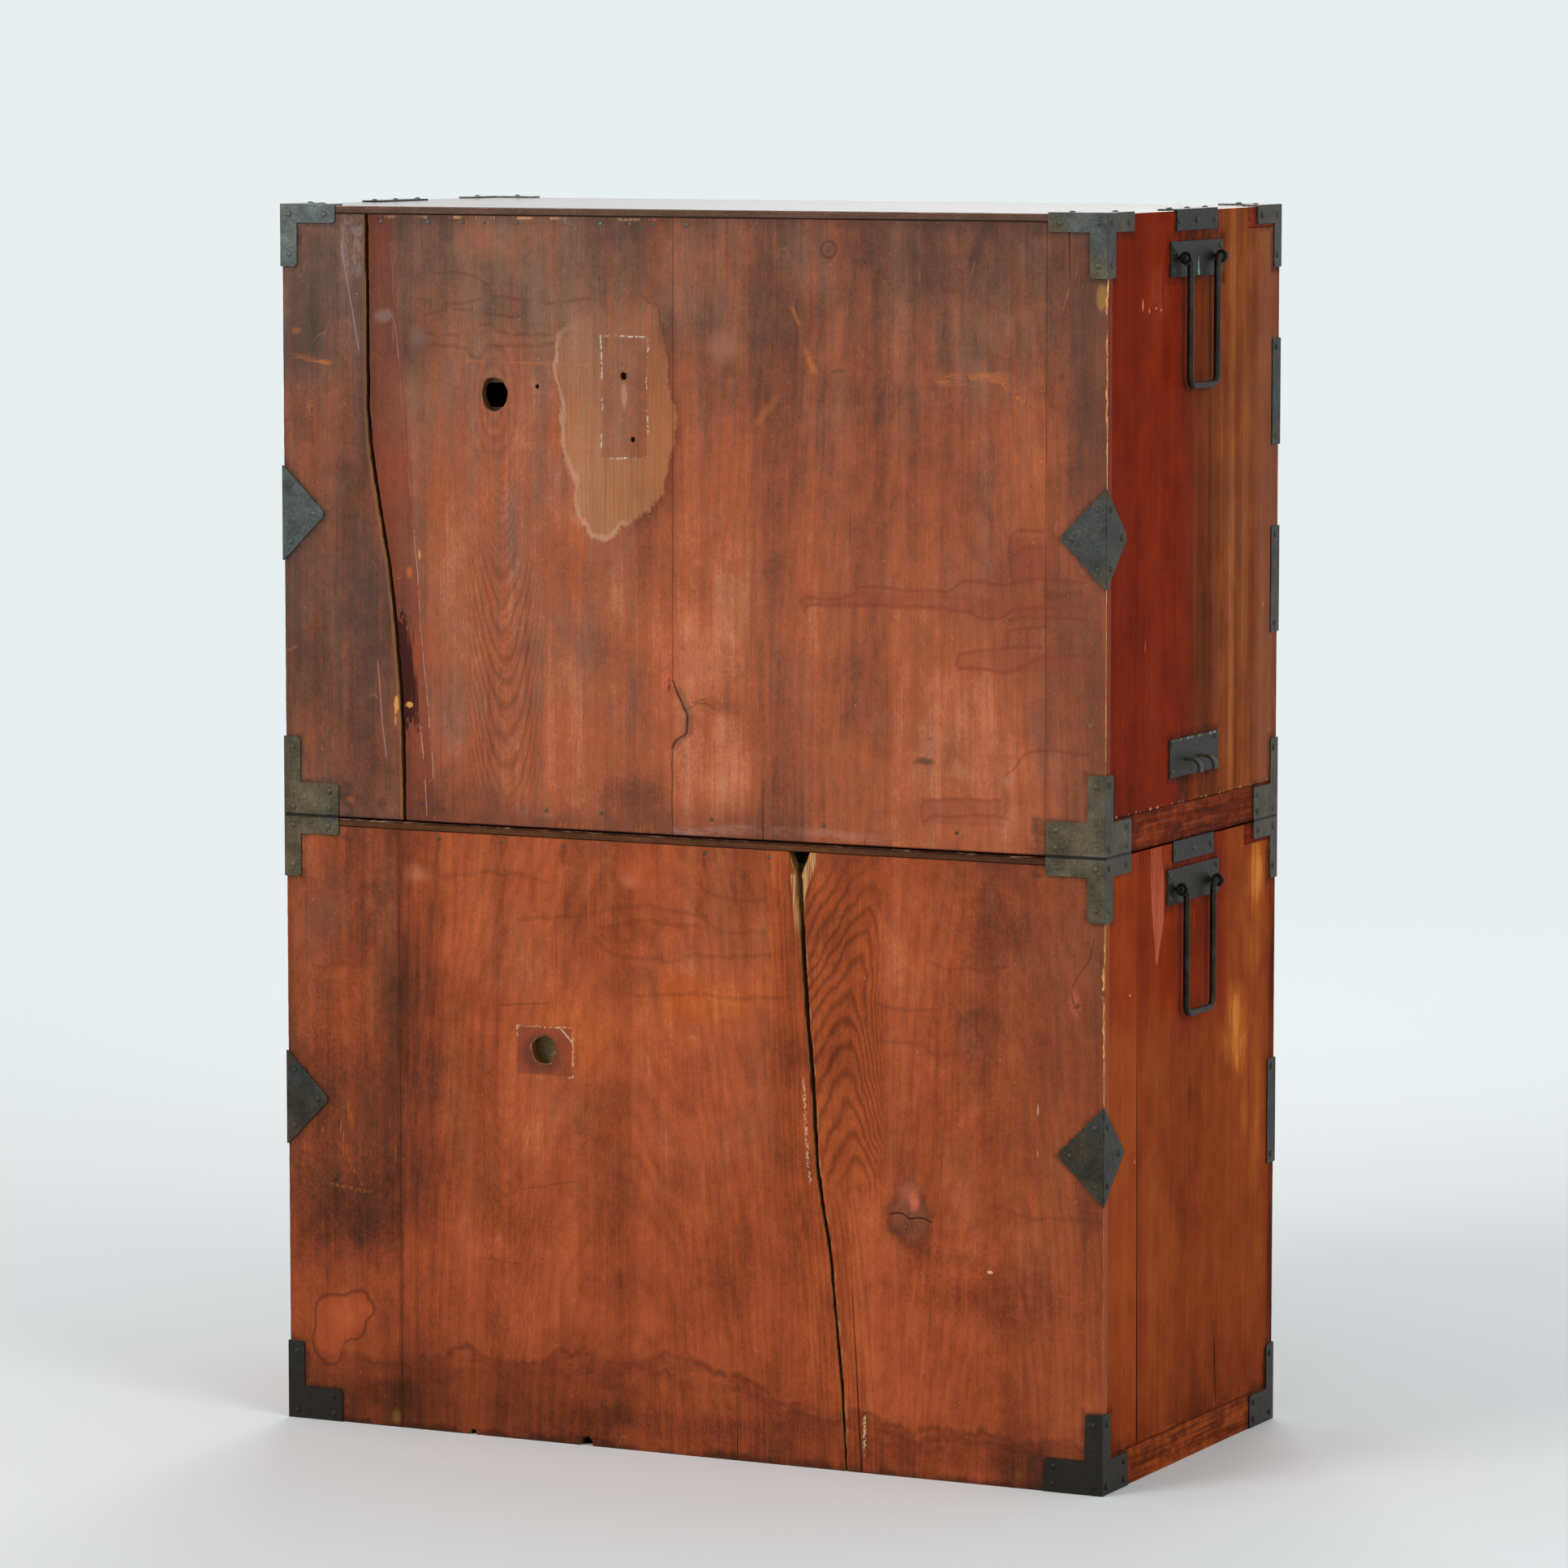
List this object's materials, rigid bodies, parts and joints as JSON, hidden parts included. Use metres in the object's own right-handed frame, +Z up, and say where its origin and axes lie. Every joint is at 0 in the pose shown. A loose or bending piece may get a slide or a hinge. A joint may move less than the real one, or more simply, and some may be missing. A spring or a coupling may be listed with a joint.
{
  "type": "stacking chest of drawers",
  "caption": "Iron-bound chest of drawers in two stacked cases, with boarded back, swinging carrying handles on the sides and drawers that slide out.",
  "frame": {"origin": "middle of the footprint of the cases, on the floor", "axes": "+Z up; -Y out of the drawers; +Y out of the boarded back; -X to the left as seen from the drawers"},
  "size_m": [0.919, 0.4426, 1.2131],
  "materials": {
    "lacquer_back": "thin worn red-brown stain over softwood, satin, with open grain, water marks and scuffs",
    "lacquer_side": "wiped red lacquer over softwood, semi-gloss, streaked to brown",
    "bare_wood": "bare pale wood, matt",
    "iron": "wrought and sheet iron, dark, oxidised, satin"
  },
  "bodies": {
    "lower_case": {"lower_bottom": "lacquer_side", "lower_top": "lacquer_side", "lower_side_left": "lacquer_side", "lower_side_right": "lacquer_side", "lower_back_boards": "lacquer_back", "lower_rail": "lacquer_side", "lower_runners": "bare_wood", "lower_corner_irons": "iron", "lower_diamond_irons": "iron", "lower_tie_irons": "iron", "lower_side_plates": "iron", "lower_handle_eyes": "iron", "lower_nails": "iron"},
    "upper_case": {"upper_bottom": "lacquer_side", "upper_top": "lacquer_side", "upper_side_left": "lacquer_side", "upper_side_right": "lacquer_side", "upper_back_boards": "lacquer_back", "upper_rails": "lacquer_side", "upper_runners": "bare_wood", "upper_corner_irons": "iron", "upper_diamond_irons": "iron", "upper_tie_irons": "iron", "upper_side_plates": "iron", "upper_handle_eyes": "iron", "upper_catch_hooks": "iron", "upper_nails": "iron"},
    "lower_handle_left": {"lower_handle_left": "iron"},
    "lower_handle_right": {"lower_handle_right": "iron"},
    "upper_handle_left": {"upper_handle_left": "iron"},
    "upper_handle_right": {"upper_handle_right": "iron"},
    "drawer_1": {"drawer_1_front": "lacquer_side", "drawer_1_box": "bare_wood", "drawer_1_hardware": "iron"},
    "drawer_1_pull_left": {"drawer_1_pull_left": "iron"},
    "drawer_1_pull_right": {"drawer_1_pull_right": "iron"},
    "drawer_1_bolt": {"drawer_1_bolt": "iron"},
    "drawer_2": {"drawer_2_front": "lacquer_side", "drawer_2_box": "bare_wood", "drawer_2_hardware": "iron"},
    "drawer_2_pull_left": {"drawer_2_pull_left": "iron"},
    "drawer_2_pull_right": {"drawer_2_pull_right": "iron"},
    "drawer_3": {"drawer_3_front": "lacquer_side", "drawer_3_box": "bare_wood", "drawer_3_hardware": "iron"},
    "drawer_3_pull_left": {"drawer_3_pull_left": "iron"},
    "drawer_3_pull_right": {"drawer_3_pull_right": "iron"},
    "drawer_4": {"drawer_4_front": "lacquer_side", "drawer_4_box": "bare_wood", "drawer_4_hardware": "iron"},
    "drawer_4_pull_left": {"drawer_4_pull_left": "iron"},
    "drawer_4_pull_right": {"drawer_4_pull_right": "iron"},
    "drawer_4_bolt": {"drawer_4_bolt": "iron"},
    "drawer_5": {"drawer_5_front": "lacquer_side", "drawer_5_box": "bare_wood", "drawer_5_hardware": "iron"},
    "drawer_5_pull_left": {"drawer_5_pull_left": "iron"},
    "drawer_5_pull_right": {"drawer_5_pull_right": "iron"}
  },
  "joints": [
    {"name": "upper_case_lift", "type": "slide", "parent": "lower_case", "child": "upper_case", "axis": [0, 0, 1], "range_m": [0, 0.15]},
    {"name": "lower_handle_left_swing", "type": "hinge", "parent": "lower_case", "child": "lower_handle_left", "pos_m": [-0.451, 0, 0.561], "axis": [0, 1, 0], "range_deg": [0, 173]},
    {"name": "lower_handle_right_swing", "type": "hinge", "parent": "lower_case", "child": "lower_handle_right", "pos_m": [0.451, 0, 0.561], "axis": [0, -1, 0], "range_deg": [0, 173]},
    {"name": "upper_handle_left_swing", "type": "hinge", "parent": "upper_case", "child": "upper_handle_left", "pos_m": [-0.451, 0, 1.165], "axis": [0, 1, 0], "range_deg": [0, 180]},
    {"name": "upper_handle_right_swing", "type": "hinge", "parent": "upper_case", "child": "upper_handle_right", "pos_m": [0.451, 0, 1.165], "axis": [0, -1, 0], "range_deg": [0, 180]},
    {"name": "drawer_1_slide", "type": "slide", "parent": "upper_case", "child": "drawer_1", "axis": [0, -1, 0], "range_m": [0, 0.3]},
    {"name": "drawer_1_pull_left_swing", "type": "hinge", "parent": "drawer_1", "child": "drawer_1_pull_left", "pos_m": [-0.225, -0.2205, 1.12565], "axis": [-1, 0, 0], "range_deg": [0, 170]},
    {"name": "drawer_1_pull_right_swing", "type": "hinge", "parent": "drawer_1", "child": "drawer_1_pull_right", "pos_m": [0.225, -0.2205, 1.12565], "axis": [-1, 0, 0], "range_deg": [0, 170]},
    {"name": "drawer_1_bolt_rise", "type": "slide", "parent": "drawer_1", "child": "drawer_1_bolt", "axis": [0, 0, 1], "range_m": [0, 0.008]},
    {"name": "drawer_2_slide", "type": "slide", "parent": "upper_case", "child": "drawer_2", "axis": [0, -1, 0], "range_m": [0, 0.3]},
    {"name": "drawer_2_pull_left_swing", "type": "hinge", "parent": "drawer_2", "child": "drawer_2_pull_left", "pos_m": [-0.225, -0.2205, 0.94665], "axis": [-1, 0, 0], "range_deg": [0, 170]},
    {"name": "drawer_2_pull_right_swing", "type": "hinge", "parent": "drawer_2", "child": "drawer_2_pull_right", "pos_m": [0.225, -0.2205, 0.94665], "axis": [-1, 0, 0], "range_deg": [0, 170]},
    {"name": "drawer_3_slide", "type": "slide", "parent": "upper_case", "child": "drawer_3", "axis": [0, -1, 0], "range_m": [0, 0.3]},
    {"name": "drawer_3_pull_left_swing", "type": "hinge", "parent": "drawer_3", "child": "drawer_3_pull_left", "pos_m": [-0.225, -0.2205, 0.7484], "axis": [-1, 0, 0], "range_deg": [0, 170]},
    {"name": "drawer_3_pull_right_swing", "type": "hinge", "parent": "drawer_3", "child": "drawer_3_pull_right", "pos_m": [0.225, -0.2205, 0.7484], "axis": [-1, 0, 0], "range_deg": [0, 170]},
    {"name": "drawer_4_slide", "type": "slide", "parent": "lower_case", "child": "drawer_4", "axis": [0, -1, 0], "range_m": [0, 0.3]},
    {"name": "drawer_4_pull_left_swing", "type": "hinge", "parent": "drawer_4", "child": "drawer_4_pull_left", "pos_m": [-0.225, -0.2205, 0.46615], "axis": [-1, 0, 0], "range_deg": [0, 170]},
    {"name": "drawer_4_pull_right_swing", "type": "hinge", "parent": "drawer_4", "child": "drawer_4_pull_right", "pos_m": [0.225, -0.2205, 0.46615], "axis": [-1, 0, 0], "range_deg": [0, 170]},
    {"name": "drawer_4_bolt_rise", "type": "slide", "parent": "drawer_4", "child": "drawer_4_bolt", "axis": [0, 0, 1], "range_m": [0, 0.008]},
    {"name": "drawer_5_slide", "type": "slide", "parent": "lower_case", "child": "drawer_5", "axis": [0, -1, 0], "range_m": [0, 0.3]},
    {"name": "drawer_5_pull_left_swing", "type": "hinge", "parent": "drawer_5", "child": "drawer_5_pull_left", "pos_m": [-0.225, -0.2205, 0.17965], "axis": [-1, 0, 0], "range_deg": [0, 170]},
    {"name": "drawer_5_pull_right_swing", "type": "hinge", "parent": "drawer_5", "child": "drawer_5_pull_right", "pos_m": [0.225, -0.2205, 0.17965], "axis": [-1, 0, 0], "range_deg": [0, 170]}
  ]
}
